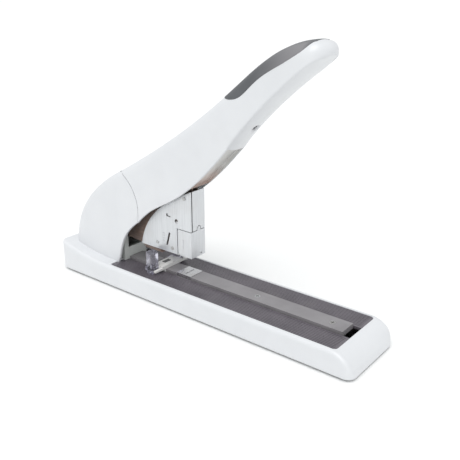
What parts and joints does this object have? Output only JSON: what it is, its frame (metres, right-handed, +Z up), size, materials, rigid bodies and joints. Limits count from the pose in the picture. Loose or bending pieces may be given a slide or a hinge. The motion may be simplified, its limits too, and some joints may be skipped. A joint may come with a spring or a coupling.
{
  "type": "heavy-duty stapler",
  "caption": "Free-standing heavy-duty stapler: long base with a paper table and stop, narrow steel head and long raised lever handle.",
  "frame": {"origin": "on the table under the middle of the base's length and width", "axes": "+X along the base towards its nose (the end under the handle's tip), +Y across it, +Z up"},
  "size_m": [0.39, 0.083, 0.28],
  "materials": {
    "white_plastic": "satin",
    "dark_deck": "fine ribs",
    "rail_grey": "fine ribs",
    "rubber": "matte",
    "zinc_steel": "zinc plated",
    "painted_bracket": "satin",
    "dark_steel": "oiled",
    "bronze": "plain",
    "clear_stop": "clear plastic",
    "white_stop": "satin",
    "dark_plastic": "matte",
    "grip": "fine grain",
    "web_metal": "satin",
    "head_steel": "brushed lengthwise"
  },
  "bodies": {
    "base": {"base_shell": "white_plastic", "base_plate": "zinc_steel", "rubber_feet": "rubber", "base_screws": "zinc_steel", "deck_near": "dark_deck", "deck_far": "dark_deck", "rail": "rail_grey", "rail_screws": "zinc_steel", "anvil": "head_steel", "frame_bracket": "painted_bracket", "frame_bolts": "zinc_steel", "frame_tie": "zinc_steel", "pivot_pin": "zinc_steel", "pivot_clips": "dark_steel", "pivot_spacers": "bronze", "rear_cover": "white_plastic"},
    "stop": {"stop_carriage": "white_stop", "stop_fence": "clear_stop", "stop_index": "dark_plastic"},
    "handle": {"handle_shell": "white_plastic", "handle_grip": "grip", "handle_underplate": "white_plastic", "handle_web": "web_metal", "handle_screw": "dark_steel", "main_lever": "dark_steel", "roller_pin": "zinc_steel", "handle_spring": "dark_steel"},
    "roller": {"drive_roller": "zinc_steel"},
    "head": {"head_arm": "dark_steel", "head_casing": "head_steel", "head_rivets": "zinc_steel", "gate_pin": "zinc_steel", "magazine_channel": "zinc_steel", "magazine_core": "zinc_steel", "staple_strip": "zinc_steel", "pusher_rod": "zinc_steel", "pusher_spring": "dark_steel"},
    "gate": {"jam_gate": "head_steel"},
    "pusher": {"staple_pusher": "dark_plastic"},
    "driver": {"driver_holder": "dark_steel", "driver_blade": "head_steel", "driver_rivets": "zinc_steel"}
  },
  "joints": [
    {"name": "handle_hinge", "type": "hinge", "parent": "base", "child": "handle", "pos_m": [-0.1284, 0, 0.092], "axis": [0, 1, 0], "range_deg": [0, 28], "stiffness_Nm_per_rad": 2, "springref_deg": -51.57, "deforming": ["handle_spring"]},
    {"name": "head_hinge", "type": "hinge", "parent": "base", "child": "head", "pos_m": [-0.1284, 0, 0.092], "axis": [0, 1, 0], "range_deg": [0, 11.01]},
    {"name": "driver_slide", "type": "slide", "parent": "head", "child": "driver", "axis": [0, 0, -1], "range_m": [0, 0.0312]},
    {"name": "roller_spin", "type": "hinge", "parent": "handle", "child": "roller", "pos_m": [-0.0274, 0, 0.128], "axis": [0, 1, 0], "continuous": true},
    {"name": "gate_hinge", "type": "hinge", "parent": "head", "child": "gate", "pos_m": [-0.0314, -0.0096, 0.06], "axis": [0, 0, -1], "range_deg": [0, 85]},
    {"name": "pusher_slide", "type": "slide", "parent": "head", "child": "pusher", "axis": [-1, 0, 0], "range_m": [0, 0.012], "stiffness_N_per_m": 60, "springref_m": -0.03, "deforming": ["pusher_spring"]},
    {"name": "stop_slide", "type": "slide", "parent": "base", "child": "stop", "axis": [1, 0, 0], "range_m": [-0.03, 0.012]}
  ],
  "couplings": [
    {"joint": "head_hinge", "follows": "handle_hinge", "ratio": 0.39286},
    {"joint": "driver_slide", "follows": "handle_hinge", "m_per_rad": 0.0637}
  ]
}
